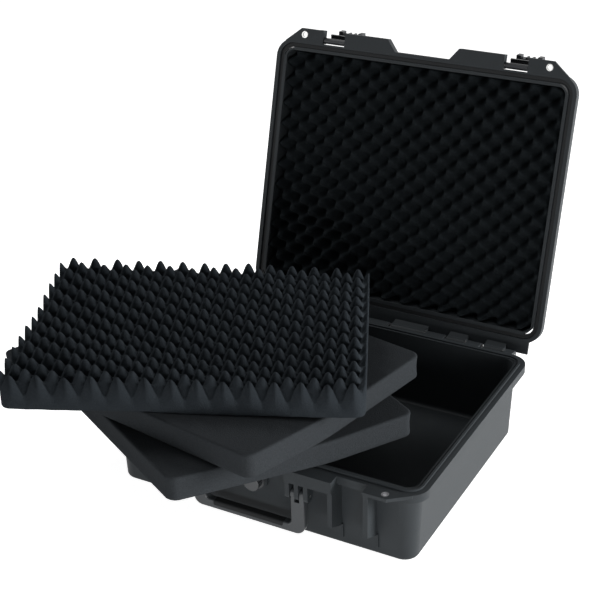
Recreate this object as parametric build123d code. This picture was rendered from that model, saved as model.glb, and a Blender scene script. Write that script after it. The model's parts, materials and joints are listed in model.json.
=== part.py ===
from build123d import *
import os
from math import asin, atan, cos, pi, radians, sin, sqrt, tan

# Moulded equipment case for a floor effects unit, open, with its loose foam pads on the rim.
# Millimetres. X to the right, Y to the back, Z up. The origin is the middle of the base's underside.
# Lid pieces are drawn shut, above the base, and then swung open about the hinge pins.

# Driving dimensions of the rim that the base and the lid share
rim_width = 480.0
rim_depth = 393.0
rim_height = 115.0
rim_corner = 28.0
flange_height = 12.0
deck_thickness = 3.5
skirt_thickness = 3.0
shut_gap = 0.4

# Walls of the two shells
wall = 3.2
floor_thickness = 3.4
wall_inset_rim = 11.8
wall_inset_foot = 16.5
foot_corner = 20.0
base_edge_radius = 5.0
base_floor_radius = 6.0
lip_height = 1.5
lip_gap = 0.7
lid_height = 55.0
lid_wall_inset_top = 15.0
lid_edge_radius = 10.0
lid_ledge_inset = 17.0

# Seal: a tongue on the base and a groove with a gasket in the lid
tongue_inset = 7.5
tongue_width = 3.0
tongue_height = 3.0
groove_side_gap = 1.6
groove_depth = 7.0
groove_wall = 2.0
gasket_side_gap = 0.5
gasket_squeeze_gap = 0.6

# Hinge along the back
hinge_behind_rim = 17.5
hinge_below_rim = 11.5
knuckle_radius = 7.0
hinge_pin_radius = 2.0
pin_clearance = 0.05
lid_open_angle = 105.0
base_knuckles = [(-209, -195), (-157, -135), (-100, -69), (-45, 8), (69, 100), (135, 157), (195, 209)]
lid_knuckles = [(-191, -161), (-131, -102), (-66, -48), (11, 66), (102, 131), (161, 191)]
hinge_pin_split = -18.0
hinge_hood_half_length = 224.0
hinge_hood_reach = 15.5

# Front of the case: padlock ears, handle lands, latch bays
front_reach = 17.5
ear_thickness = 5.0
ear_chamfer = [(201.0, 17.5), (227.0, -3.5)]
padlock_x = 195.3
padlock_ahead = 8.0
padlock_hole_radius = 3.5
eyelet_wall = 1.6
eyelet_clearance = 0.05
land_inner_x = 57.0
land_height = 18.0
fin_thickness = 6.6
fin_foot_z = 45.0
fin_root_z = 30.0
inner_fin_x = 118.0
outer_fin_x = 168.0
fin_rib_width = 1.6
fin_rib_foot_z = 12.0

# Latches
latch_centre_x = 145.3
latch_width = 34.5
latch_pivot_ahead = 2.5
latch_pivot_above = 6.5
latch_barrel_radius = 4.5
latch_pin_radius = 2.0
latch_pin_grip = 5.0
latch_boss_length = 6.0
latch_side_gap = 1.0
latch_recess_gap = 1.0
latch_plate_thickness = 3.0
latch_length = 64.0
latch_hook_gap = 0.4
latch_hook_thickness = 4.0
latch_hook_overlap = 3.5
latch_open_angle = 170.0
latch_pull_width = 40.0
latch_pull_height = 12.0
latch_pull_front = 1.7
latch_pull_depth = 7.0
latch_post_width = 7.0
latch_post_depth = 11.0
latch_tooth_width = 3.0
latch_tooth_depth = 9.0
latch_teeth = 2

# Carrying handle
handle_outer_x = 84.0
handle_inner_x = 64.5
handle_bottom_z = 18.0
handle_bar_height = 13.0
handle_thickness = 13.0
handle_pivot_ahead = 8.5
handle_pivot_z = 78.0
handle_end_radius = 7.0
handle_pin_radius = 2.5
handle_corner_radius = 13.0
handle_inner_radius = 6.0
handle_edge_radius = 3.0
lug_radius = 8.0
lug_width = 6.2
lug_side_gap = 0.5
lug_slot_depth = 10.0
grip_half_length = 53.0
grip_height = 6.5
grip_gap = 0.25
grip_corner = 2.5

# Pressure valve
valve_z = 68.0
valve_boss_radius = 17.0
valve_boss_reach = 4.0
valve_hole_radius = 6.0
valve_stem_clearance = 0.2
valve_flange_radius = 14.0
valve_flange_thickness = 3.0
valve_post_radius = 5.0
valve_knob_radius = 11.5
valve_knob_length = 11.0
valve_knob_gap = 0.4
valve_knob_front = 2.5
valve_flutes = 18
valve_flute_radius = 1.2
valve_ring_radius = 8.5
valve_ring_section = 1.4
valve_nut_width = 18.0
valve_nut_thickness = 4.0

# Foam: two flat pads, one egg-crate pad, and egg-crate foam glued into the lid
pad_length = 450.0
pad_depth = 354.0
pad_corner = 14.0
flat_pad_height = 34.0
crate_slab_height = 19.0
lid_slab_height = 17.0
crate_peak_height = 31.0
crate_peak_radius = 11.0
crate_tip_radius = 4.6
crate_columns = 14
crate_rows = 11
crate_sink = 3.0
crate_seam_turn = 45.0
pad_rest_gap = 0.3
pad_stack_gap = 0.3
lid_foam_side_gap = 0.6
lid_foam_corner = 19.0
lid_foam_back_radius = 8.0

# The loose pads lie fanned out: place of each middle, and turn seen from above
bottom_pad_place = (-110.0, -103.0, -31.4)
middle_pad_place = (-113.0, -106.0, -11.3)
top_pad_place = (-125.0, -107.0, 24.9)

# Ahead of this line the pads curl up off the rim
curl_line_y = -180.0
curl_slope = 0.12
curl_radius = 400.0

# Places that follow from the dimensions above
half_width = rim_width / 2
front_y = -rim_depth / 2
back_y = rim_depth / 2
hinge_y = back_y + hinge_behind_rim
hinge_z = rim_height - hinge_below_rim
lid_rim_z = rim_height + shut_gap
lid_top_z = rim_height + lid_height
latch_pivot_y = front_y - latch_pivot_ahead
latch_pivot_z = rim_height + latch_pivot_above
handle_pivot_y = front_y - handle_pivot_ahead
reach_y = front_y - front_reach
padlock_y = front_y - padlock_ahead
tongue_top_z = rim_height + tongue_height


def rounded_prism(half_x, half_y, corner, low_z, high_z, draft=0.0):
    """Upright prism on a rounded rectangle; a positive draft leans its sides outward going up."""
    outline = Pos(0, 0, low_z) * RectangleRounded(2 * half_x, 2 * half_y, corner)
    return extrude(outline, amount=high_z - low_z, taper=-draft)


def rim_ring(outer_inset, inner_inset, low_z, high_z):
    """Ring that follows the rim, between two distances in from the rim's outer edge."""
    outer_corner = max(rim_corner - outer_inset, 3.0)
    inner_corner = max(rim_corner - inner_inset, 3.0)
    outer = rounded_prism(half_width - outer_inset, back_y - outer_inset, outer_corner, low_z, high_z)
    inner = rounded_prism(half_width - inner_inset, back_y - inner_inset, inner_corner, low_z - 1, high_z + 1)
    return outer - inner


def prism_on_plan(points, low_z, high_z):
    """Upright prism on a polygon given as X, Y points."""
    return extrude(Pos(0, 0, low_z) * make_face(Polyline(*points, close=True)), amount=high_z - low_z)


def prism_from_side(points, low_x, high_x):
    """Prism along X on a polygon given as Y, Z points."""
    outline = Polyline(*[(low_x, y, z) for y, z in points], close=True)
    return extrude(make_face(outline), amount=high_x - low_x, dir=(1, 0, 0))


def rod_along_x(radius, low_x, high_x, y, z):
    """Round rod or bore along X."""
    return Pos((low_x + high_x) / 2, y, z) * Rot(0, 90, 0) * Cylinder(radius, high_x - low_x)


def rod_along_y(radius, low_y, high_y, x, z):
    """Round rod or bore along Y."""
    return Pos(x, (low_y + high_y) / 2, z) * Rot(90, 0, 0) * Cylinder(radius, high_y - low_y)


def box_between(low, high):
    """Box from its lowest corner to its highest corner."""
    size = [b - a for a, b in zip(low, high)]
    middle = [(a + b) / 2 for a, b in zip(low, high)]
    return Pos(*middle) * Box(*size)


def on_side(shape, side):
    """A right-hand shape, or its mirror image for the left."""
    return shape if side > 0 else mirror(shape, about=Plane.YZ)


def wall_outer_y(z):
    """Distance of the base's front wall from the middle, at a height."""
    inset = wall_inset_foot + (wall_inset_rim - wall_inset_foot) * z / rim_height
    return back_y - inset


def open_lid(shape):
    """Swing a piece of the shut lid to where it rests, open."""
    return shape.rotate(Axis((0, hinge_y, hinge_z), (1, 0, 0)), -lid_open_angle)


def ear_plan(low_x):
    """Plan of a right-hand padlock ear, from its inner side to the rim's corner."""
    outline = [(low_x, front_y + rim_corner), (low_x, reach_y)]
    outline += [(x, front_y - ahead) for x, ahead in ear_chamfer]
    outline += [(ear_chamfer[-1][0], front_y + rim_corner)]
    return outline


def rim_prism(low_z, high_z):
    """Whole block inside the rim's outline."""
    return rounded_prism(half_width, back_y, rim_corner, low_z, high_z)


def tub(foot_inset, rim_inset, low_z, high_z, corner):
    """Solid block with drafted sides that a shell is made from."""
    draft = atan((foot_inset - rim_inset) / (high_z - low_z)) * 180 / pi
    return rounded_prism(half_width - foot_inset, back_y - foot_inset, corner, low_z, high_z, draft)


def base_cavity():
    """Room inside the base."""
    room = tub(wall_inset_foot + wall, wall_inset_rim + wall, floor_thickness, rim_height, foot_corner - wall)
    room = fillet(room.edges().group_by(Axis.Z)[0], base_floor_radius)
    above = rounded_prism(
        half_width - wall_inset_rim - wall,
        back_y - wall_inset_rim - wall,
        foot_corner - wall,
        rim_height - 0.01,
        rim_height + 20,
    )
    return room + above


def base_outside():
    """Outside of the base's tub before it is hollowed."""
    block = tub(wall_inset_foot, wall_inset_rim, 0, rim_height, foot_corner)
    return fillet(block.edges().group_by(Axis.Z)[0], base_edge_radius)


def outside_base(shape):
    """What of a front fitting lies outside the base's wall and rim."""
    shape -= base_outside()
    return shape - rim_prism(rim_height - flange_height, rim_height + 1)


def fin(low_x):
    """Front fin that carries a land or an ear and guards the latch."""
    foot_y = -wall_outer_y(fin_root_z) + 1
    points = [(foot_y, fin_root_z), (reach_y + 3, fin_foot_z), (reach_y + 3, rim_height - 1)]
    points += [(front_y + 2, rim_height - 1), (-wall_outer_y(rim_height) + 1, rim_height - 1)]
    return prism_from_side(points, low_x, low_x + fin_thickness)


def fin_rib(x):
    """Thin rib that runs on down the wall below a fin."""
    top_y = -wall_outer_y(fin_root_z + 4)
    points = [(-wall_outer_y(fin_rib_foot_z) + 1, fin_rib_foot_z), (-wall_outer_y(fin_rib_foot_z) - 2, fin_rib_foot_z)]
    points += [(top_y - 3, fin_root_z + 4), (top_y + 1, fin_root_z + 4)]
    return prism_from_side(points, x, x + fin_rib_width)


def lug_spans():
    """X ranges of the three fingers that hold one handle arm."""
    middle = (handle_inner_x + handle_outer_x) / 2
    inner = (handle_inner_x - lug_side_gap - lug_width, handle_inner_x - lug_side_gap)
    centre = (middle - lug_width / 2, middle + lug_width / 2)
    outer = (handle_outer_x + lug_side_gap, handle_outer_x + lug_side_gap + lug_width)
    return [inner, centre, outer]


def handle_land():
    """Right-hand land in front of the rim: hollow under it, fingers for the handle, and the inner fin."""
    low_z = rim_height - land_height
    outer_x = inner_fin_x + fin_thickness
    land = box_between((land_inner_x, reach_y, low_z), (outer_x, front_y + 2, rim_height))
    hollow = box_between(
        (land_inner_x + skirt_thickness, reach_y + skirt_thickness, low_z - 1),
        (inner_fin_x, front_y + 3, rim_height - deck_thickness),
    )
    land -= hollow
    for low_x, high_x in lug_spans():
        finger = rod_along_x(lug_radius, low_x, high_x, handle_pivot_y, handle_pivot_z)
        finger += box_between(
            (low_x, handle_pivot_y - lug_radius, handle_pivot_z),
            (high_x, handle_pivot_y + lug_radius, rim_height - 1),
        )
        land += finger
    land -= rod_along_x(
        handle_pin_radius + pin_clearance,
        lug_spans()[0][0] - 1,
        lug_spans()[2][1] + 1,
        handle_pivot_y,
        handle_pivot_z,
    )
    land += fin(inner_fin_x)
    land += fin_rib(inner_fin_x + fin_thickness)
    return outside_base(land)


def base_ear():
    """Right-hand padlock ear on the base, over the outer fin."""
    ear = prism_on_plan(ear_plan(outer_fin_x), rim_height - ear_thickness, rim_height)
    ear += fin(outer_fin_x)
    ear += fin_rib(outer_fin_x + fin_thickness)
    return outside_base(ear) - eyelet_hole(rim_height)


def eyelet_hole(z):
    radius = padlock_hole_radius + eyelet_wall + eyelet_clearance
    return Pos(padlock_x, padlock_y, z) * Cylinder(radius, 6 * ear_thickness)


def base_shell():
    """Lower shell with its rim, tongue and inner lip."""
    shell = base_outside()
    shell += rim_ring(0, wall_inset_rim + 1, rim_height - deck_thickness, rim_height)
    shell += rim_ring(0, skirt_thickness, rim_height - flange_height, rim_height)
    shell += rod_along_y(
        valve_boss_radius, -wall_outer_y(valve_z) - valve_boss_reach, -wall_outer_y(valve_z) + 2, 0, valve_z
    )
    shell += rim_ring(wall_inset_rim + lip_gap, wall_inset_rim + wall, rim_height - 1, rim_height + lip_height)
    shell -= base_cavity()
    shell += rim_ring(tongue_inset, tongue_inset + tongue_width, rim_height - 1, tongue_top_z)
    return shell - rod_along_y(valve_hole_radius, front_y, front_y + 40, 0, valve_z)


def pin_bore():
    return rod_along_x(hinge_pin_radius + pin_clearance, -half_width, half_width, hinge_y, hinge_z)


def base_hinge_knuckles():
    """Hinge barrels on arms behind the base's rim."""
    arm_points = [(back_y - 2, hinge_z - knuckle_radius + 1), (hinge_y, hinge_z - knuckle_radius)]
    arm_points += [(hinge_y, hinge_z + knuckle_radius), (back_y - 2, rim_height - 1)]
    knuckles = []
    for low_x, high_x in base_knuckles:
        knuckle = prism_from_side(arm_points, low_x, high_x)
        knuckle += rod_along_x(knuckle_radius, low_x, high_x, hinge_y, hinge_z)
        knuckles.append(outside_base(knuckle) - pin_bore())
    return Compound(children=[solid for knuckle in knuckles for solid in knuckle.solids()])


def latch_gap():
    """X range of the right-hand gap that a latch hangs in."""
    return (latch_centre_x - latch_width / 2 - latch_side_gap, latch_centre_x + latch_width / 2 + latch_side_gap)


def latch_pin_bore():
    low_x, high_x = latch_gap()
    return rod_along_x(
        latch_pin_radius + pin_clearance,
        low_x - latch_pin_grip - 0.5,
        high_x + latch_pin_grip + 0.5,
        latch_pivot_y,
        latch_pivot_z,
    )


def outside_lid(shape):
    """What of a lid fitting lies outside the lid's rim."""
    return shape - rim_prism(lid_rim_z - 1, lid_rim_z + flange_height + 1)


def lid_bump():
    """Right-hand bump on the lid's front rim, with the boss for one end of the latch pin."""
    high_x = latch_gap()[0]
    outline = [(land_inner_x - 14, front_y + 2), (land_inner_x - 14, front_y), (land_inner_x, reach_y)]
    outline += [(high_x, reach_y), (high_x, front_y + 2)]
    block = prism_on_plan(outline, lid_rim_z, lid_rim_z + flange_height)
    hollow = [(land_inner_x - 7, front_y - 1), (land_inner_x + 3, reach_y + skirt_thickness)]
    hollow += [(high_x - latch_boss_length, reach_y + skirt_thickness), (high_x - latch_boss_length, front_y - 1)]
    block -= prism_on_plan(hollow, lid_rim_z + deck_thickness, lid_rim_z + flange_height + 1)
    return outside_lid(block) - latch_pin_bore()


def lid_ear():
    """Right-hand padlock ear on the lid, with the boss for the latch pin's other end."""
    low_x = latch_gap()[1]
    ear = prism_on_plan(ear_plan(low_x), lid_rim_z, lid_rim_z + ear_thickness)
    ear += box_between(
        (low_x, reach_y, lid_rim_z),
        (low_x + latch_boss_length + 3, front_y + 2, lid_rim_z + flange_height),
    )
    return outside_lid(ear) - latch_pin_bore() - eyelet_hole(lid_rim_z)


def lid_cavity():
    """Room inside the lid, above its ledge."""
    low_z = lid_rim_z + deck_thickness
    high_z = lid_top_z - wall
    room = tub(lid_wall_inset_top + wall, wall_inset_rim + wall, low_z, high_z, foot_corner - wall)
    room = mirror(room, about=Plane.XY.offset((low_z + high_z) / 2))
    return fillet(room.edges().group_by(Axis.Z)[-1], lid_edge_radius - wall)


def lid_block():
    """Outer form of the lid before it is hollowed."""
    block = tub(lid_wall_inset_top, wall_inset_rim, lid_rim_z, lid_top_z, foot_corner)
    block = mirror(block, about=Plane.XY.offset((lid_rim_z + lid_top_z) / 2))
    return fillet(block.edges().group_by(Axis.Z)[-1], lid_edge_radius)


def lid_ribs():
    """Raised bars moulded on the lid's outside."""
    bars = []
    for x in (-150, -90, 90, 150):
        bar = Pos(x, 0, lid_top_z) * SlotOverall(220, 16, rotation=90)
        bars.append(extrude(bar, amount=1.5) + extrude(bar, amount=-1))
    return bars


def lid_shell():
    """Upper shell, drawn shut: drafted walls, flange, seal groove, hinge hood and latch recesses."""
    shell = lid_block()
    shell += rim_ring(0, wall_inset_rim + 1, lid_rim_z, lid_rim_z + deck_thickness)
    shell += rim_ring(0, skirt_thickness, lid_rim_z, lid_rim_z + flange_height)
    groove_outer = tongue_inset - groove_side_gap
    groove_inner = tongue_inset + tongue_width + groove_side_gap
    shell += rim_ring(groove_outer - groove_wall, wall_inset_rim + 1, lid_rim_z, lid_rim_z + groove_depth + groove_wall)
    shell += box_between(
        (-hinge_hood_half_length, back_y - groove_outer + 0.5, lid_rim_z),
        (hinge_hood_half_length, back_y + hinge_hood_reach, lid_rim_z + deck_thickness),
    )
    for bar in lid_ribs():
        shell += bar
    shell -= lid_cavity()
    shell -= rounded_prism(
        half_width - lid_ledge_inset, back_y - lid_ledge_inset, rim_corner - lid_ledge_inset, lid_rim_z - 1,
        lid_rim_z + deck_thickness + 0.01,
    )
    shell -= rim_ring(wall_inset_rim, lid_ledge_inset + 1, lid_rim_z - 1, rim_height + lip_height + shut_gap)
    shell -= rim_ring(groove_outer, groove_inner, lid_rim_z - 1, lid_rim_z + groove_depth)
    for low_x, high_x in (latch_gap(), (-latch_gap()[1], -latch_gap()[0])):
        shell -= box_between(
            (low_x, front_y - 1, lid_rim_z - 1),
            (high_x, latch_pivot_y + latch_barrel_radius + latch_recess_gap, lid_rim_z + flange_height + 1),
        )
    for bar in hood_clearances():
        shell -= bar
    return shell


def hood_clearances():
    """Room in the hood for the lid's own knuckle arms, which are drawn as separate solids."""
    return [lid_arm(low_x, high_x) for low_x, high_x in lid_knuckles]


def lid_arm(low_x, high_x):
    """Arm behind the lid's rim that carries one hinge barrel."""
    points = [(back_y, lid_rim_z + flange_height), (back_y, lid_rim_z), (back_y + 6, lid_rim_z)]
    points += [(hinge_y - knuckle_radius, hinge_z + 2), (hinge_y - knuckle_radius, hinge_z)]
    points += [(hinge_y + knuckle_radius, hinge_z), (hinge_y + knuckle_radius - 2, lid_rim_z + 6)]
    points += [(back_y + 8, lid_rim_z + flange_height)]
    return prism_from_side(points, low_x, high_x)


def lid_hinge_knuckles():
    """Hinge barrels on arms behind the lid's rim, drawn shut."""
    knuckles = []
    for low_x, high_x in lid_knuckles:
        knuckle = lid_arm(low_x, high_x) + rod_along_x(knuckle_radius, low_x, high_x, hinge_y, hinge_z)
        knuckles.append(outside_lid(knuckle) - pin_bore())
    return Compound(children=[solid for knuckle in knuckles for solid in knuckle.solids()])


def lid_gasket():
    """Rubber seal seated in the lid's groove."""
    outer = tongue_inset - groove_side_gap + gasket_side_gap
    inner = tongue_inset + tongue_width + groove_side_gap - gasket_side_gap
    return rim_ring(outer, inner, tongue_top_z + gasket_squeeze_gap, lid_rim_z + groove_depth)


def hinge_pin(low_x, high_x):
    return rod_along_x(hinge_pin_radius, low_x, high_x, hinge_y, hinge_z)


def padlock_eyelet(side, low_z):
    """Steel liner of a padlock hole, flush with both faces of its ear."""
    tube = Cylinder(padlock_hole_radius + eyelet_wall, ear_thickness) - Cylinder(padlock_hole_radius, 2 * ear_thickness)
    return Pos(side * padlock_x, padlock_y, low_z + ear_thickness / 2) * tube


def latch(side):
    """Latch at rest, flipped open: barrel, plate, hook that goes under the base's rim, and a notched pull."""
    low_x = latch_centre_x - latch_width / 2
    high_x = latch_centre_x + latch_width / 2
    front = latch_pivot_y - latch_barrel_radius
    back = front + latch_plate_thickness
    foot_z = latch_pivot_z - latch_length
    body = rod_along_x(latch_barrel_radius, low_x, high_x, latch_pivot_y, latch_pivot_z)
    body += box_between((low_x, front, foot_z + 1), (high_x, back, latch_pivot_z))
    corner_y = front_y + skirt_thickness - latch_pivot_y
    corner_z = rim_height - flange_height - latch_pivot_z
    hook_radius = sqrt(corner_y ** 2 + corner_z ** 2) + latch_hook_gap
    lip = rod_along_x(hook_radius + latch_hook_thickness, low_x, high_x, latch_pivot_y, latch_pivot_z)
    lip -= rod_along_x(hook_radius, low_x - 1, high_x + 1, latch_pivot_y, latch_pivot_z)
    lip &= box_between(
        (low_x, front + 1, latch_pivot_z - 2 * hook_radius),
        (high_x, front_y + latch_hook_overlap, latch_pivot_z),
    )
    body += lip
    pull_front = front - latch_pull_front
    pull_low = latch_centre_x - latch_pull_width / 2
    pull_high = latch_centre_x + latch_pull_width / 2
    body += box_between(
        (pull_low, pull_front, foot_z), (pull_high, pull_front + latch_pull_depth, foot_z + latch_pull_height)
    )
    for low in (pull_low, pull_high - latch_post_width):
        body += box_between(
            (low, pull_front, foot_z),
            (low + latch_post_width, pull_front + latch_post_depth, foot_z + latch_pull_height),
        )
    spacing = (latch_pull_width - 2 * latch_post_width) / (latch_teeth + 1)
    for index in range(latch_teeth):
        x = pull_low + latch_post_width + (index + 1) * spacing
        body += box_between(
            (x - latch_tooth_width / 2, pull_front, foot_z),
            (x + latch_tooth_width / 2, pull_front + latch_tooth_depth, foot_z + latch_pull_height),
        )
    body -= rod_along_x(latch_pin_radius + pin_clearance, low_x - 1, high_x + 1, latch_pivot_y, latch_pivot_z)
    body = body.rotate(Axis((0, latch_pivot_y, latch_pivot_z), (1, 0, 0)), -latch_open_angle)
    if side < 0:
        body = mirror(body, about=Plane.YZ)
    return body


def latch_pin(side):
    low_x, high_x = latch_gap()
    ends = sorted([side * (low_x - latch_pin_grip), side * (high_x + latch_pin_grip)])
    return rod_along_x(latch_pin_radius, ends[0], ends[1], latch_pivot_y, latch_pivot_z)


def handle_outline(grow_x, low_z, corner):
    """Face across the front, from the handle's foot to its pivots."""
    high_z = handle_pivot_z
    face = Plane.XZ * (Pos(0, (low_z + high_z) / 2) * Rectangle(2 * grow_x, high_z - low_z))
    return fillet(face.vertices().group_by(Axis.Z)[0], corner)


def carry_handle():
    """Folding handle: two arms, a bar, and a slot in each arm for the middle finger."""
    low_y = handle_pivot_y - handle_thickness / 2
    outer = extrude(handle_outline(handle_outer_x, handle_bottom_z, handle_corner_radius), amount=handle_thickness)
    inner_foot = handle_bottom_z + handle_bar_height
    inner = extrude(
        handle_outline(handle_inner_x, inner_foot, handle_inner_radius), amount=handle_thickness + 10, both=True
    )
    body = Pos(0, handle_pivot_y + handle_thickness / 2, 0) * outer
    body -= Pos(0, handle_pivot_y, 0) * inner
    rounded = body.edges().filter_by(lambda e: abs(e.center().Y - handle_pivot_y) > handle_thickness / 2 - 0.5)
    rounded = rounded.filter_by(lambda e: e.center().Z < handle_pivot_z - 0.5)
    body = fillet(rounded, handle_edge_radius)
    for side in (-1, 1):
        ends = sorted([side * handle_inner_x, side * handle_outer_x])
        body += rod_along_x(handle_end_radius - 0.5, ends[0], ends[1], handle_pivot_y, handle_pivot_z)
        slot_low, slot_high = sorted([side * (lug_spans()[1][0] - lug_side_gap), side * (lug_spans()[1][1] + lug_side_gap)])
        body -= box_between(
            (slot_low, handle_pivot_y - 20, handle_pivot_z - lug_slot_depth),
            (slot_high, handle_pivot_y + 20, handle_pivot_z + 20),
        )
        body -= rod_along_x(
            handle_pin_radius + pin_clearance, ends[0] - 1, ends[1] + 1, handle_pivot_y, handle_pivot_z
        )
    return body - grip_block(0)


def grip_block(shrink):
    """Block along the top of the handle's bar: the recess, or the grip that fills it."""
    top_z = handle_bottom_z + handle_bar_height
    low_z = top_z - grip_height + shrink
    high_z = top_z + 10
    half = grip_half_length - shrink
    outline = Rectangle(2 * half, high_z - low_z)
    outline = fillet(outline.vertices().group_by(Axis.Y)[0], grip_corner)
    block = extrude(Plane.XZ * (Pos(0, (low_z + high_z) / 2) * outline), amount=handle_thickness, both=True)
    return Pos(0, handle_pivot_y, 0) * block


def handle_grip():
    """Soft grip let into the top of the handle's bar."""
    top_z = handle_bottom_z + handle_bar_height
    half_y = handle_thickness / 2
    bar = box_between(
        (-handle_outer_x, handle_pivot_y - half_y, handle_bottom_z), (handle_outer_x, handle_pivot_y + half_y, top_z)
    )
    bar = fillet(bar.edges().filter_by(Axis.X).group_by(Axis.Z)[-1], handle_edge_radius)
    return bar & grip_block(grip_gap)


def handle_pin(side):
    ends = sorted([side * (lug_spans()[0][0] + 0.5), side * (lug_spans()[2][1] - 0.5)])
    return rod_along_x(handle_pin_radius, ends[0], ends[1], handle_pivot_y, handle_pivot_z)


def valve_seat_y():
    return -wall_outer_y(valve_z) - valve_boss_reach


def valve_body():
    """Valve body: flange against the boss, stem through the wall and a post for the knob."""
    seat = valve_seat_y()
    inside = -wall_outer_y(valve_z) + wall + valve_nut_thickness + 2.5
    body = rod_along_y(valve_flange_radius, seat - valve_flange_thickness, seat, 0, valve_z)
    body += rod_along_y(valve_hole_radius - valve_stem_clearance, seat - 0.5, inside, 0, valve_z)
    post_end = seat - valve_flange_thickness - valve_knob_length + valve_knob_front + 1
    body += rod_along_y(valve_post_radius, post_end, seat - 1, 0, valve_z)
    body -= ring_groove(seat, valve_ring_section + 0.1)
    return body


def ring_groove(seat, section):
    """Torus about the valve's axis, half sunk in the back of its flange."""
    return Pos(0, seat - valve_ring_section, valve_z) * Rot(90, 0, 0) * Torus(valve_ring_radius + 1.5, section)


def valve_o_ring():
    return ring_groove(valve_seat_y(), valve_ring_section)


def valve_nut():
    """Hexagonal nut inside the case that draws the valve tight."""
    face_y = -wall_outer_y(valve_z) + wall + 1.0
    nut = extrude(RegularPolygon(valve_nut_width / 2, 6, major_radius=False), amount=valve_nut_thickness)
    nut -= Cylinder(valve_hole_radius - valve_stem_clearance + pin_clearance, 4 * valve_nut_thickness)
    return Pos(0, face_y, valve_z) * Rot(-90, 0, 0) * nut


def valve_knob():
    """Fluted knob that turns on the valve's post."""
    back = valve_seat_y() - valve_flange_thickness - valve_knob_gap
    knob = rod_along_y(valve_knob_radius, back - valve_knob_length, back, 0, valve_z)
    knob = fillet(knob.edges().sort_by(Axis.Y)[0], 1.2)
    for index in range(valve_flutes):
        angle = 2 * pi * index / valve_flutes
        knob -= rod_along_y(
            valve_flute_radius,
            back - valve_knob_length + 2,
            back + 1,
            valve_knob_radius * cos(angle),
            valve_z + valve_knob_radius * sin(angle),
        )
    bore_end = back - valve_knob_length + valve_knob_front
    knob -= rod_along_y(valve_post_radius + pin_clearance, bore_end, back + 1, 0, valve_z)
    return knob


def curl_rise(y):
    """How far the curl lifts a loose pad at a distance along Y."""
    turn = atan(curl_slope)
    tangent = curl_radius * tan(turn / 2)
    start = curl_line_y + tangent
    end = curl_line_y - tangent * cos(turn)
    if y >= start:
        return 0.0
    if y <= end:
        return (curl_line_y - y) * curl_slope
    return curl_radius - sqrt(curl_radius ** 2 - (start - y) ** 2)


def curled_band(low_z, height):
    """Layer of even height whose front part curls up."""
    turn = atan(curl_slope)
    tangent = curl_radius * tan(turn / 2)
    start = (0, curl_line_y + tangent, low_z)
    corner_end = (0, curl_line_y - tangent * cos(turn), low_z + tangent * sin(turn))
    reach = 500.0
    front = (0, curl_line_y - reach, low_z + reach * curl_slope)
    back = (0, reach, low_z)
    arc = TangentArc(start, corner_end, tangent=(0, -1, 0))
    lower = Wire([Line(back, start), arc, Line(corner_end, front)])
    upper = lower.moved(Location((0, 0, height)))
    rise = Vector(0, 0, height)
    sides = [Line(Vector(*back), Vector(*back) + rise), Line(Vector(*front), Vector(*front) + rise)]
    face = make_face(lower.edges() + upper.edges() + [side.edge() for side in sides])
    return extrude(face, amount=1000, both=True, dir=(1, 0, 0))


def pad_outline(place, low_z, high_z):
    """Upright prism on one loose pad's rounded outline."""
    x, y, turn = place
    prism = rounded_prism(pad_length / 2, pad_depth / 2, pad_corner, low_z, high_z)
    return Pos(x, y, 0) * Rot(0, 0, turn) * prism


def flat_pad(place, low_z):
    return pad_outline(place, low_z - 20, low_z + 200) & curled_band(low_z, flat_pad_height)


def crate_peak():
    """One foam peak: a cone that runs into a round tip, on a short sunk root."""
    rise = crate_peak_height - crate_tip_radius
    lean = asin((crate_peak_radius - crate_tip_radius) / sqrt(rise ** 2 + (crate_peak_radius - crate_tip_radius) ** 2))
    meet_r = crate_tip_radius * cos(lean)
    meet_z = rise + crate_tip_radius * sin(lean)
    profile = Polyline((0, -crate_sink), (crate_peak_radius, -crate_sink), (crate_peak_radius, 0), (meet_r, meet_z))
    tip_mid = (crate_tip_radius * sin(radians(45)), rise + crate_tip_radius * cos(radians(45)))
    tip = ThreePointArc((meet_r, meet_z), tip_mid, (0, crate_peak_height))
    axis_side = Line((0, crate_peak_height), (0, -crate_sink))
    face = make_face(profile.edges() + tip.edges() + axis_side.edges())
    return Rot(0, 0, crate_seam_turn) * revolve(Plane.XZ * face, axis=Axis.Z)


def crate_places(length, depth):
    """Peak places: staggered rows, with half a step between a row and the next."""
    step_x = length / crate_columns
    step_y = depth / crate_rows
    places = []
    for row in range(2 * crate_rows + 1):
        y = -depth / 2 + row * step_y / 2
        shift = 0.5 if row % 2 == 0 else 0.0
        count = crate_columns if row % 2 == 0 else crate_columns + 1
        places += [(-length / 2 + (column + shift) * step_x, y) for column in range(count)]
    return places


def at_edge(x, y, length, depth):
    near_x = length / 2 - abs(x) < crate_peak_radius
    near_y = depth / 2 - abs(y) < crate_peak_radius
    return near_x or near_y


def crate_pad(place, low_z):
    """Loose egg-crate pad."""
    x0, y0, turn = place
    peak = crate_peak()
    slab = pad_outline(place, low_z - 20, low_z + 200) & curled_band(low_z, crate_slab_height)
    outline = pad_outline(place, low_z, low_z + 200)
    peaks = []
    for x, y in crate_places(pad_length, pad_depth):
        world_x = x0 + x * cos(radians(turn)) - y * sin(radians(turn))
        world_y = y0 + x * sin(radians(turn)) + y * cos(radians(turn))
        top_z = low_z + crate_slab_height + curl_rise(world_y)
        copy = Pos(world_x, world_y, top_z) * peak
        if at_edge(x, y, pad_length, pad_depth):
            peaks += (copy & outline).solids()
        else:
            peaks.append(copy)
    return slab.fuse(*peaks)


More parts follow.
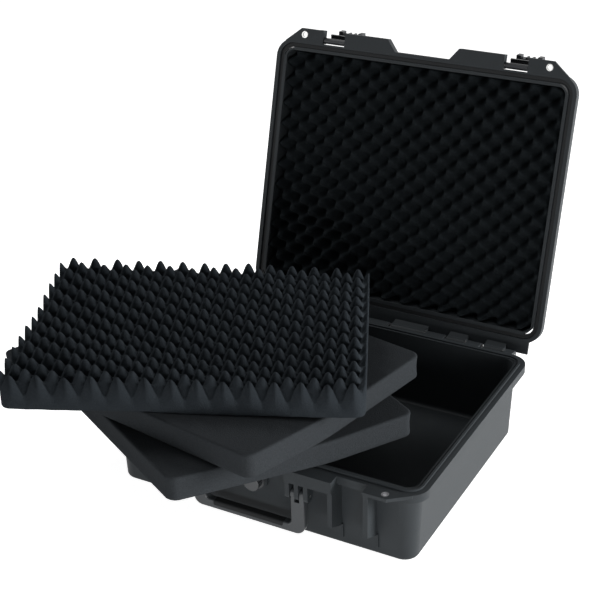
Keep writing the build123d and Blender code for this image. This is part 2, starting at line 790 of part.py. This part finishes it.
def lid_foam():
    """Egg-crate foam glued inside the lid, drawn shut with its peaks pointing down."""
    half_x = half_width - lid_wall_inset_top - wall - lid_foam_side_gap
    half_y = back_y - lid_wall_inset_top - wall - lid_foam_side_gap
    back_z = lid_top_z - wall
    slab_z = back_z - lid_slab_height
    slab = rounded_prism(half_x, half_y, lid_foam_corner, slab_z, back_z)
    slab = fillet(slab.edges().group_by(Axis.Z)[-1], lid_foam_back_radius)
    outline = rounded_prism(half_x, half_y, lid_foam_corner, slab_z - 100, back_z)
    peak = Rot(180, 0, 0) * crate_peak()
    peaks = []
    for x, y in crate_places(2 * half_x, 2 * half_y):
        copy = Pos(x, y, slab_z) * peak
        if at_edge(x, y, 2 * half_x, 2 * half_y):
            peaks += (copy & outline).solids()
        else:
            peaks.append(copy)
    return slab.fuse(*peaks)


def all_parts():
    """Every sub-part by name, where it rests."""
    pad_z = tongue_top_z + pad_rest_gap
    middle_z = pad_z + flat_pad_height + pad_stack_gap
    top_z = middle_z + flat_pad_height + pad_stack_gap
    parts = {
        "base_shell": base_shell(),
        "base_hinge_knuckles": base_hinge_knuckles(),
        "lid_shell": open_lid(lid_shell()),
        "lid_hinge_knuckles": open_lid(lid_hinge_knuckles()),
        "lid_gasket": open_lid(lid_gasket()),
        "lid_foam": open_lid(lid_foam()),
        "hinge_pin_left": hinge_pin(base_knuckles[0][0], hinge_pin_split - 0.5),
        "hinge_pin_right": hinge_pin(hinge_pin_split + 0.5, base_knuckles[-1][1]),
        "carry_handle": carry_handle(),
        "handle_grip": handle_grip(),
        "valve_body": valve_body(),
        "valve_o_ring": valve_o_ring(),
        "valve_nut": valve_nut(),
        "valve_knob": valve_knob(),
        "foam_pad_bottom": flat_pad(bottom_pad_place, pad_z),
        "foam_pad_middle": flat_pad(middle_pad_place, middle_z),
        "foam_pad_egg_crate": crate_pad(top_pad_place, top_z),
    }
    land = handle_land()
    ear = base_ear()
    bump = lid_bump()
    upper_ear = lid_ear()
    for side, word in ((-1, "left"), (1, "right")):
        parts["handle_land_" + word] = on_side(land, side)
        parts["base_ear_" + word] = on_side(ear, side)
        parts["lid_bump_" + word] = open_lid(on_side(bump, side))
        parts["lid_ear_" + word] = open_lid(on_side(upper_ear, side))
        parts["latch_" + word] = open_lid(latch(side))
        parts["latch_pin_" + word] = open_lid(latch_pin(side))
        parts["handle_pin_" + word] = handle_pin(side)
        parts["base_padlock_eyelet_" + word] = padlock_eyelet(side, rim_height - ear_thickness)
        parts["lid_padlock_eyelet_" + word] = open_lid(padlock_eyelet(side, lid_rim_z))
    return parts


os.makedirs("parts", exist_ok=True)
for name, shape in all_parts().items():
    export_step(shape, "parts/" + name + ".step")
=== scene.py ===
import json
import math

import bpy
import numpy as np
from mathutils import Matrix, Vector


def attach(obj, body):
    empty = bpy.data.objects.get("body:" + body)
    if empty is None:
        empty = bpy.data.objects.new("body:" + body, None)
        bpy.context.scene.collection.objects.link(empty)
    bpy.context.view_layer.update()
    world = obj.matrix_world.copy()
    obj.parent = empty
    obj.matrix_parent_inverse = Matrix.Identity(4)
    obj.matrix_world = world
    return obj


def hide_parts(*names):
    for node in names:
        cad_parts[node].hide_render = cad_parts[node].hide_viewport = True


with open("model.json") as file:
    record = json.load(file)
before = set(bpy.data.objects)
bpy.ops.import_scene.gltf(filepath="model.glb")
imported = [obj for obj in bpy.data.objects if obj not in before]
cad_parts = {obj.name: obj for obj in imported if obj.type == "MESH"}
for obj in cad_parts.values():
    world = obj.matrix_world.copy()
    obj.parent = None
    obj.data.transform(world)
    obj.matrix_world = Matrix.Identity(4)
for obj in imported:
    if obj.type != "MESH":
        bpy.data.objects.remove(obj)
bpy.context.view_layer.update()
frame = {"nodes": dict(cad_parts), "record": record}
nodes = frame["nodes"]


# Camera, worked out from the case's own lines in the photo.
# Lengths are in metres and angles in degrees, here and below.

PICTURE_WIDTH = 590
FOCAL_PIXELS = 1401.7
SENSOR_WIDTH = 36
CAMERA_PLACE = (0.7943, -1.5081, 1.1182)
CAMERA_AZIMUTH = 28.9
CAMERA_ELEVATION = 26.89
CAMERA_ROLL = -1.27


def make_camera():
    azimuth, elevation = math.radians(CAMERA_AZIMUTH), math.radians(CAMERA_ELEVATION)
    roll = math.radians(CAMERA_ROLL)
    back = Vector((
        math.sin(azimuth) * math.cos(elevation),
        -math.cos(azimuth) * math.cos(elevation),
        math.sin(elevation),
    ))
    right = (-back).cross(Vector((0, 0, 1))).normalized()
    up = right.cross(-back)
    turned_right = math.cos(roll) * right + math.sin(roll) * up
    turned_up = -math.sin(roll) * right + math.cos(roll) * up
    data = bpy.data.cameras.new("camera")
    data.sensor_fit = "HORIZONTAL"
    data.sensor_width = SENSOR_WIDTH
    data.lens = FOCAL_PIXELS * SENSOR_WIDTH / PICTURE_WIDTH
    data.clip_start = 0.05
    data.clip_end = 100
    camera = bpy.data.objects.new("camera", data)
    bpy.context.scene.collection.objects.link(camera)
    turn = Matrix((turned_right, turned_up, back)).transposed().to_4x4()
    camera.matrix_world = Matrix.Translation(CAMERA_PLACE) @ turn
    bpy.context.scene.camera = camera


# Lamps, world and floor

WHITE = (1, 1, 1, 1)
COOL_WHITE = (0.95, 0.97, 1.0, 1)
DIM_LEVEL = 0.10
SEEN_LEVEL = 1.0
FLOOR_REACH = 6.0
FLOOR_COLOUR = (0.8, 0.8, 0.8, 1)
FLOOR_GLOW = 0.9

# Name, place, the point it faces, width and height, and watts
LAMPS = [
    ("front_left", (-1.9, -2.2, 0.55), (0, 0, 0.05), (1.0, 0.6), 13),
    ("front_low", (0.7, -1.2, 0.15), (0.1, -0.2, 0.04), (0.8, 0.25), 8),
    ("over_left", (-1.6, 0.4, 1.9), (0, 0, 0.2), (0.8, 0.8), 22),
    ("right_back", (2.6, 0.7, 0.7), (0.2, 0, 0.1), (1.0, 1.0), 115),
]


def add_node(tree, kind, **inputs):
    """New shader node, with values for its named inputs."""
    node = tree.nodes.new(kind)
    for name, value in inputs.items():
        node.inputs[name].default_value = value
    return node


def lamp(name, place, target, size, watts):
    data = bpy.data.lights.new(name, "AREA")
    data.shape = "RECTANGLE"
    data.size, data.size_y = size
    data.energy = watts
    thing = bpy.data.objects.new(name, data)
    bpy.context.scene.collection.objects.link(thing)
    thing.location = place
    thing.rotation_mode = "QUATERNION"
    thing.rotation_quaternion = (Vector(target) - Vector(place)).to_track_quat("-Z", "Y")


def seen_rays(tree):
    """Socket that is 1 for camera, glossy and transmission rays, and else 0."""
    path = tree.nodes.new("ShaderNodeLightPath")
    first = tree.nodes.new("ShaderNodeMath")
    first.operation = "MAXIMUM"
    second = tree.nodes.new("ShaderNodeMath")
    second.operation = "MAXIMUM"
    tree.links.new(path.outputs["Is Camera Ray"], first.inputs[0])
    tree.links.new(path.outputs["Is Glossy Ray"], first.inputs[1])
    tree.links.new(first.outputs[0], second.inputs[0])
    tree.links.new(path.outputs["Is Transmission Ray"], second.inputs[1])
    return second.outputs[0]


def make_world():
    world = bpy.data.worlds.new("world")
    bpy.context.scene.world = world
    world.use_nodes = True
    tree = world.node_tree
    tree.nodes.clear()
    dim = add_node(tree, "ShaderNodeBackground", Color=COOL_WHITE, Strength=DIM_LEVEL)
    seen = add_node(tree, "ShaderNodeBackground", Color=WHITE, Strength=SEEN_LEVEL)
    mix = tree.nodes.new("ShaderNodeMixShader")
    out = tree.nodes.new("ShaderNodeOutputWorld")
    tree.links.new(seen_rays(tree), mix.inputs[0])
    tree.links.new(dim.outputs[0], mix.inputs[1])
    tree.links.new(seen.outputs[0], mix.inputs[2])
    tree.links.new(mix.outputs[0], out.inputs["Surface"])


def make_floor():
    """Matt floor that keeps the case's shadow, with a glow that only seen rays get."""
    mesh = bpy.data.meshes.new("floor")
    near, far = -FLOOR_REACH, FLOOR_REACH
    mesh.from_pydata([(near, near, 0), (far, near, 0), (far, far, 0), (near, far, 0)], [], [(0, 1, 2, 3)])
    floor = bpy.data.objects.new("floor", mesh)
    bpy.context.scene.collection.objects.link(floor)
    paint = bpy.data.materials.new("floor")
    paint.use_nodes = True
    tree = paint.node_tree
    tree.nodes.clear()
    matt = add_node(tree, "ShaderNodeBsdfDiffuse", Color=FLOOR_COLOUR)
    glow = add_node(tree, "ShaderNodeEmission", Color=WHITE, Strength=FLOOR_GLOW)
    no_glow = add_node(tree, "ShaderNodeEmission", Strength=0.0)
    mix = tree.nodes.new("ShaderNodeMixShader")
    both = tree.nodes.new("ShaderNodeAddShader")
    out = tree.nodes.new("ShaderNodeOutputMaterial")
    tree.links.new(seen_rays(tree), mix.inputs[0])
    tree.links.new(no_glow.outputs[0], mix.inputs[1])
    tree.links.new(glow.outputs[0], mix.inputs[2])
    tree.links.new(matt.outputs[0], both.inputs[0])
    tree.links.new(mix.outputs[0], both.inputs[1])
    tree.links.new(both.outputs[0], out.inputs["Surface"])
    floor.data.materials.append(paint)


# Materials

TONE_DETAIL = 4.0
GRAIN_DETAIL = 2.0
FOAM_SURFACE = {
    "roughness": 1.0,
    "specular": 0.05,
    "grain": 0.6,
    "grain_size": 0.0014,
    "spread": 0.35,
    "patch_size": 0.0022,
}
LOOKS = {
    "case_plastic": {"colour": (0.027, 0.031, 0.034), "roughness": 0.50, "specular": 0.14, "grain": 0.25},
    "latch_plastic": {"colour": (0.022, 0.024, 0.027), "roughness": 0.40, "specular": 0.3},
    "handle_plastic": {"colour": (0.042, 0.046, 0.050), "roughness": 0.38, "specular": 0.4},
    "grip_rubber": {"colour": (0.012, 0.013, 0.014), "roughness": 0.7, "specular": 0.2},
    "seal_rubber": {"colour": (0.010, 0.011, 0.012), "roughness": 0.6, "specular": 0.2},
    "valve_plastic": {"colour": (0.040, 0.043, 0.046), "roughness": 0.4},
    "steel": {"colour": (0.62, 0.62, 0.60), "roughness": 0.3, "metallic": 1.0},
    "eyelet_steel": {"colour": (0.55, 0.55, 0.54), "roughness": 0.35, "metallic": 1.0},
    # The eyelets' steel made darker for the base's eyelets: painted shade, with a rougher finish
    "shaded_eyelet_steel": {"colour": (0.22, 0.22, 0.23), "roughness": 0.45, "metallic": 1.0},
    "lid_foam": {"colour": (0.013, 0.016, 0.018), **FOAM_SURFACE},
    "pad_foam": {"colour": (0.026, 0.029, 0.032), **FOAM_SURFACE},
    "crate_foam": {"colour": (0.020, 0.024, 0.028), **FOAM_SURFACE},
}


def surface_noise(tree, feature_size, detail):
    """Noise that stays with the surface, with features of about the given size."""
    where = tree.nodes.new("ShaderNodeTexCoord")
    noise = add_node(tree, "ShaderNodeTexNoise", Scale=1 / feature_size, Detail=detail)
    tree.links.new(where.outputs["Object"], noise.inputs["Vector"])
    return noise


def material(
    name, colour, roughness, specular=0.5, metallic=0.0,
    grain=0.1, grain_size=0.001, spread=0.12, patch_size=0.02,
):
    """Finish with slow changes of tone, of the given spread, and a fine grain."""
    paint = bpy.data.materials.new(name)
    paint.use_nodes = True
    tree = paint.node_tree
    shader = tree.nodes["Principled BSDF"]
    shader.inputs["Roughness"].default_value = roughness
    shader.inputs["Metallic"].default_value = metallic
    shader.inputs["Specular IOR Level"].default_value = specular
    tone = tree.nodes.new("ShaderNodeMix")
    tone.data_type = "RGBA"
    tone.inputs["A"].default_value = (*[value * (1 - spread) for value in colour], 1)
    tone.inputs["B"].default_value = (*[value * (1 + spread) for value in colour], 1)
    tree.links.new(surface_noise(tree, patch_size, TONE_DETAIL).outputs["Fac"], tone.inputs["Factor"])
    tree.links.new(tone.outputs["Result"], shader.inputs["Base Color"])
    bump = add_node(tree, "ShaderNodeBump", Strength=grain, Distance=grain_size)
    tree.links.new(surface_noise(tree, grain_size, GRAIN_DETAIL).outputs["Fac"], bump.inputs["Height"])
    tree.links.new(bump.outputs["Normal"], shader.inputs["Normal"])
    return paint


finishes = {name: material(name, **look) for name, look in LOOKS.items()}


# Foam, as height fields and curled pads

PAD_HALF_X, PAD_HALF_Y = 0.225, 0.177
PAD_CORNER = 0.014
FLAT_THICKNESS = 0.034
CRATE_SLAB = 0.0195
LID_HALF_X, LID_HALF_Y = 0.2212, 0.1777
LID_CORNER = 0.019
LID_SLAB = 0.017
LID_BACK_Z = 0.1668
PEAK_COLUMNS, PEAK_ROWS = 14, 11
PEAK_HEIGHT = 0.031
PEAK_POWER = 0.85
FLAT_COUNTS = (46, 38)
CRATE_COUNTS = (170, 136)
CORNER_STEPS = 7

# Place and turn of each loose pad, and the height of its underside over the floor
BOTTOM_PLACE, BOTTOM_REST = (-0.110, -0.103, -31.4), 0.1183
MIDDLE_PLACE, MIDDLE_REST = (-0.113, -0.106, -11.3), 0.1526
TOP_PLACE, TOP_REST = (-0.125, -0.107, 24.9), 0.1869

# The stack bends up a little in front of this line across the case
CURL_LINE, CURL_SLOPE, CURL_RADIUS = -0.180, 0.12, 0.400

# The top pad's twist, as lift over x times y, and where over the stack it begins to sag
TWIST = -0.1995
SAG_START, SAG_WIDTH = 0.20, 0.12
CORNER_DRAW, CORNER_POWER = 0.011, 1.5

HINGE_Y, HINGE_Z = 0.214, 0.1035
LID_OPEN_ANGLE = 105

# Rings down a pad's side: inset, and share of the height
FLAT_RINGS = [
    (0.0032, 1.0), (0.0016, 0.990), (0.0005, 0.965), (0.0, 0.92), (0.0006, 0.75), (0.0010, 0.5),
    (0.0006, 0.25), (0.0, 0.08), (0.0005, 0.035), (0.0016, 0.010), (0.0032, 0.0),
]
CRATE_RINGS = [(0.0, 1.0), (0.0, 0.2), (0.0, 0.06), (0.0008, 0.015), (0.0022, 0.0)]
LID_RINGS = [(0.0, 1.0), (0.0, 0.35), (0.003, 0.1), (0.008, 0.0)]


def outline_point(u, v, half_x, half_y, corner):
    """Place on a rounded rectangle of a point of the square from -1 to 1."""
    x, y = u * half_x, v * half_y
    dx, dy = abs(x) - (half_x - corner), abs(y) - (half_y - corner)
    if dx > 0 and dy > 0:
        scale = max(dx, dy) / math.hypot(dx, dy)
        x = math.copysign(half_x - corner + dx * scale, x)
        y = math.copysign(half_y - corner + dy * scale, y)
    return x, y


def even_steps(half, corner, count):
    """Points from -1 to 1, with one at each corner's start."""
    start = (half - corner) / half
    inner = np.linspace(-start, start, count)
    edge = np.linspace(start, 1, CORNER_STEPS)[1:]
    return np.concatenate([-edge[::-1], inner, edge])


def pad_mesh(name, half_x, half_y, corner, counts, top, rings, bottom):
    """Closed pad: a top grid, rings down its side, and a bottom grid.

    top(x, y) and bottom(x, y) give the place of a point of each face; a ring lies between them.
    """
    us = even_steps(half_x, corner, counts[0])
    vs = even_steps(half_y, corner, counts[1])
    nu, nv = len(us), len(vs)
    verts, faces = [], []

    def grid(inset, place, flip):
        start = len(verts)
        for v in vs:
            for u in us:
                x, y = outline_point(u, v, half_x - inset, half_y - inset, corner - inset)
                verts.append(place(x, y))
        for j in range(nv - 1):
            for i in range(nu - 1):
                k = start + j * nu + i
                quad = (k, k + 1, k + nu + 1, k + nu)
                faces.append(quad[::-1] if flip else quad)
        return start

    first = grid(rings[0][0], top, False)
    last = grid(rings[-1][0], bottom, True)
    around = [(i, 0) for i in range(nu - 1)] + [(nu - 1, j) for j in range(nv - 1)]
    around += [(i, nv - 1) for i in range(nu - 1, 0, -1)] + [(0, j) for j in range(nv - 1, 0, -1)]
    loop = [first + j * nu + i for i, j in around]
    for inset, share in rings[1:-1]:
        fresh = []
        for i, j in around:
            x, y = outline_point(us[i], vs[j], half_x - inset, half_y - inset, corner - inset)
            high, low = np.array(top(x, y)), np.array(bottom(x, y))
            fresh.append(len(verts))
            verts.append(tuple(low + (high - low) * share))
        faces.extend(zip(loop, fresh, fresh[1:] + fresh[:1], loop[1:] + loop[:1]))
        loop = fresh
    foot = [last + j * nu + i for i, j in around]
    faces.extend(zip(loop, foot, foot[1:] + foot[:1], loop[1:] + loop[:1]))
    mesh = bpy.data.meshes.new(name)
    mesh.from_pydata(verts, [], faces)
    mesh.update()
    mesh.shade_smooth()
    thing = bpy.data.objects.new(name, mesh)
    bpy.context.scene.collection.objects.link(thing)
    return thing


def crate_height(x, y, half_x, half_y, seed):
    """Height over the slab of egg-crate foam, with its peaks a little uneven."""
    pitch_x, pitch_y = 2 * half_x / PEAK_COLUMNS, 2 * half_y / PEAK_ROWS
    wander = 0.0006 * math.sin(x * 61 + seed) + 0.0005 * math.sin(y * 83 + 2 * seed)
    a = 2 * math.pi * (x + half_x + pitch_x / 2 + wander) / pitch_x
    b = 2 * math.pi * (y + half_y - wander) / pitch_y
    wave = (1 + math.cos(a) * math.cos(b)) / 2
    uneven = 1 + 0.03 * math.sin(x * 97 + y * 41 + seed) + 0.02 * math.sin(y * 131 - x * 57)
    return PEAK_HEIGHT * max(wave, 0) ** PEAK_POWER * min(uneven, 1.02)


def curl_rise(y):
    """Rise of the stack's bend: level, then an arc, then a plain slope."""
    turn = math.atan(CURL_SLOPE)
    tangent = CURL_RADIUS * math.tan(turn / 2)
    start, end = CURL_LINE + tangent, CURL_LINE - tangent * math.cos(turn)
    if y >= start:
        return 0.0
    if y <= end:
        return (CURL_LINE - y) * CURL_SLOPE
    return CURL_RADIUS - math.sqrt(CURL_RADIUS ** 2 - (start - y) ** 2)


def on_pad(place, rest, lift):
    """Function from a point of a loose pad, and its height over the underside, to the frame."""
    x0, y0, turn = place[0], place[1], math.radians(place[2])

    def put(x, y, height):
        frame_x = x0 + x * math.cos(turn) - y * math.sin(turn)
        frame_y = y0 + x * math.sin(turn) + y * math.cos(turn)
        return (frame_x, frame_y, rest + curl_rise(frame_y) + lift(x, y) + height)

    return put


def no_lift(x, y):
    return 0.0


def twist_lift(x, y):
    """Lift of two corners of the top pad, and sag of the others where nothing lies under them."""
    twist = TWIST * x * y
    if twist > 0:
        return twist
    return twist * min(max((abs(x) + abs(y) - SAG_START) / SAG_WIDTH, 0), 1)


def drawn_out(x, y):
    """The top pad's front left corner is drawn out a little."""
    leftness = max(-x / PAD_HALF_X, 0) ** CORNER_POWER
    frontness = min(max(0.5 - y / (2 * PAD_HALF_Y), 0), 1)
    return x - CORNER_DRAW * leftness * frontness


def finish_foam(thing, body, node, slot):
    thing.data.materials.append(finishes[slot])
    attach(thing, body)
    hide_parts(node)


def flat_pad(name, place, rest, body, node, seed):
    put = on_pad(place, rest, no_lift)

    def top(x, y):
        dip = 0.0007 * math.sin(x * 19 + seed) * math.cos(y * 23 - seed) - 0.0007
        return put(x, y, FLAT_THICKNESS + dip)

    def bottom(x, y):
        return put(x, y, 0.0)

    thing = pad_mesh(name, PAD_HALF_X, PAD_HALF_Y, PAD_CORNER, FLAT_COUNTS, top, FLAT_RINGS, bottom)
    finish_foam(thing, body, node, "pad_foam")


def crate_pad():
    """Loose egg-crate pad, a little twisted where nothing lies under it."""
    put = on_pad(TOP_PLACE, TOP_REST, twist_lift)

    def top(x, y):
        return put(drawn_out(x, y), y, CRATE_SLAB + crate_height(x, y, PAD_HALF_X, PAD_HALF_Y, 0.7))

    def bottom(x, y):
        return put(drawn_out(x, y), y, 0.0)

    thing = pad_mesh(
        "egg_crate_pad", PAD_HALF_X, PAD_HALF_Y, PAD_CORNER, CRATE_COUNTS, top, CRATE_RINGS, bottom,
    )
    finish_foam(thing, "top_pad", "foam_pad_egg_crate", "crate_foam")


def opened(x, y, z):
    """Place, with the lid open, of a point of the shut lid."""
    turn = math.radians(-LID_OPEN_ANGLE)
    dy, dz = y - HINGE_Y, z - HINGE_Z
    return (
        x,
        HINGE_Y + dy * math.cos(turn) - dz * math.sin(turn),
        HINGE_Z + dy * math.sin(turn) + dz * math.cos(turn),
    )


def lid_crate():
    """Egg-crate foam glued into the lid, its peaks towards the base."""

    def top(x, y):
        return opened(x, -y, LID_BACK_Z - LID_SLAB - crate_height(x, y, LID_HALF_X, LID_HALF_Y, 2.1))

    def bottom(x, y):
        return opened(x, -y, LID_BACK_Z)

    thing = pad_mesh(
        "lid_egg_crate", LID_HALF_X, LID_HALF_Y, LID_CORNER, CRATE_COUNTS, top, LID_RINGS, bottom,
    )
    finish_foam(thing, "lid", "lid_foam", "lid_foam")


def dress_nodes():
    """Finish for every node; the base's eyelets get a darker and rougher steel than the lid's, the darker
    colour being painted shade that hides a reflection.
    """
    for entry in frame["record"]["subparts"]:
        node, slot = nodes[entry["node"]], entry["material_slot"]
        # The base's eyelets take the darker steel, which is painted shade
        shaded_eyelet = entry["node"].startswith("base_padlock_eyelet")
        node.data.materials.clear()
        node.data.materials.append(finishes["shaded_eyelet_steel" if shaded_eyelet else slot])


make_camera()
make_world()
make_floor()
for name, place, target, size, watts in LAMPS:
    lamp(name, place, target, size, watts)
dress_nodes()
flat_pad("flat_pad_bottom", BOTTOM_PLACE, BOTTOM_REST, "bottom_pad", "foam_pad_bottom", 0.4)
flat_pad("flat_pad_middle", MIDDLE_PLACE, MIDDLE_REST, "middle_pad", "foam_pad_middle", 1.9)
crate_pad()
lid_crate()

bpy.context.scene.view_settings.view_transform = "Standard"
